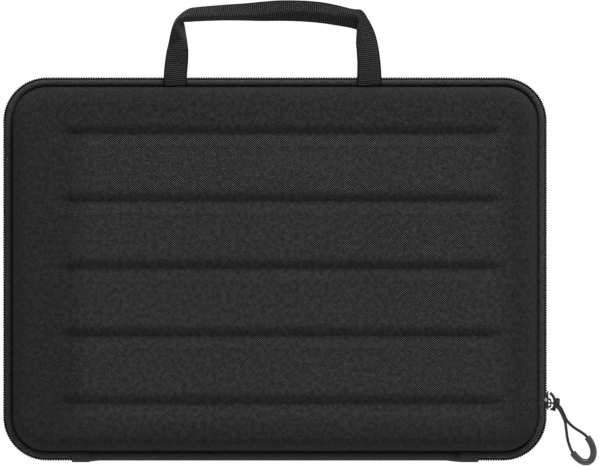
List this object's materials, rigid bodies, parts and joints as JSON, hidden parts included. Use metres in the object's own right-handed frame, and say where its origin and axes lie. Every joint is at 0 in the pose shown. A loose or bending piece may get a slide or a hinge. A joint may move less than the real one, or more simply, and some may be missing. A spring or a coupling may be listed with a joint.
{
  "type": "laptop hard case",
  "caption": "Moulded hard case for a laptop: two channelled half shells on a fabric hinge, closed by a zip with a cord pull, with a webbing carrying handle.",
  "frame": {"origin": "middle of the case's back face, on the surface that the case lies on", "axes": "+X to the right along the case's length, +Y from the hinge edge to the handle edge, +Z out of the back, through the case's thickness to its front"},
  "size_m": [0.4043, 0.315, 0.04],
  "materials": {
    "shell_fabric": "black ballistic polyester laminated on moulded foam",
    "lining_fabric": "dark grey brushed tricot lining",
    "binding_tape": "black ribbed binding tape",
    "zip_tape": "black woven zip tape",
    "zip_teeth": "black nylon coil",
    "hinge_fabric": "black woven polyester strip",
    "elastic": "black ribbed elastic",
    "webbing": "black ribbed nylon webbing",
    "slider_metal": "dark grey enamelled die casting, worn at the edges",
    "pull_cord": "black braided cord",
    "grip_plastic": "black moulded soft plastic"
  },
  "bodies": {
    "base": {"base_shell": "shell_fabric", "base_lining": "lining_fabric", "base_binding": "binding_tape", "base_zip_tape": "zip_tape", "base_zip_teeth": "zip_teeth", "spine_base": "hinge_fabric", "end_tab_left_base": "hinge_fabric", "end_tab_right_base": "hinge_fabric", "corner_band_1": "elastic", "corner_band_2": "elastic", "corner_band_3": "elastic", "corner_band_4": "elastic"},
    "lid": {"lid_shell": "shell_fabric", "lid_lining": "lining_fabric", "lid_binding": "binding_tape", "lid_zip_tape": "zip_tape", "lid_zip_teeth": "zip_teeth", "spine_lid": "hinge_fabric", "end_tab_left_lid": "hinge_fabric", "end_tab_right_lid": "hinge_fabric", "handle_tail_left": "webbing", "handle_tail_right": "webbing"},
    "handle": {"handle_strap": "webbing"},
    "slider": {"slider_body": "slider_metal", "slider_bridge": "slider_metal"},
    "puller": {"puller_loop": "pull_cord", "puller_knot": "pull_cord", "puller_cord_left": "pull_cord", "puller_cord_right": "pull_cord", "puller_grip": "grip_plastic"}
  },
  "joints": [
    {"name": "lid_hinge", "type": "hinge", "parent": "base", "child": "lid", "pos_m": [0, -0.1315, 0.02], "axis": [1, 0, 0], "range_deg": [0, 180]},
    {"name": "handle_fold", "type": "hinge", "parent": "lid", "child": "handle", "pos_m": [0, 0.1249, 0.0273], "axis": [1, 0, 0], "range_deg": [0, 90]},
    {"name": "zip_slide", "type": "slide", "parent": "base", "child": "slider", "axis": [0, 1, 0], "range_m": [-0.0045, 0.183], "deforming": ["base_zip_teeth", "lid_zip_teeth"]},
    {"name": "puller_swing", "type": "hinge", "parent": "slider", "child": "puller", "pos_m": [0.1865, -0.0911, 0.02], "axis": [0, 0, 1], "range_deg": [-30, 40]}
  ]
}
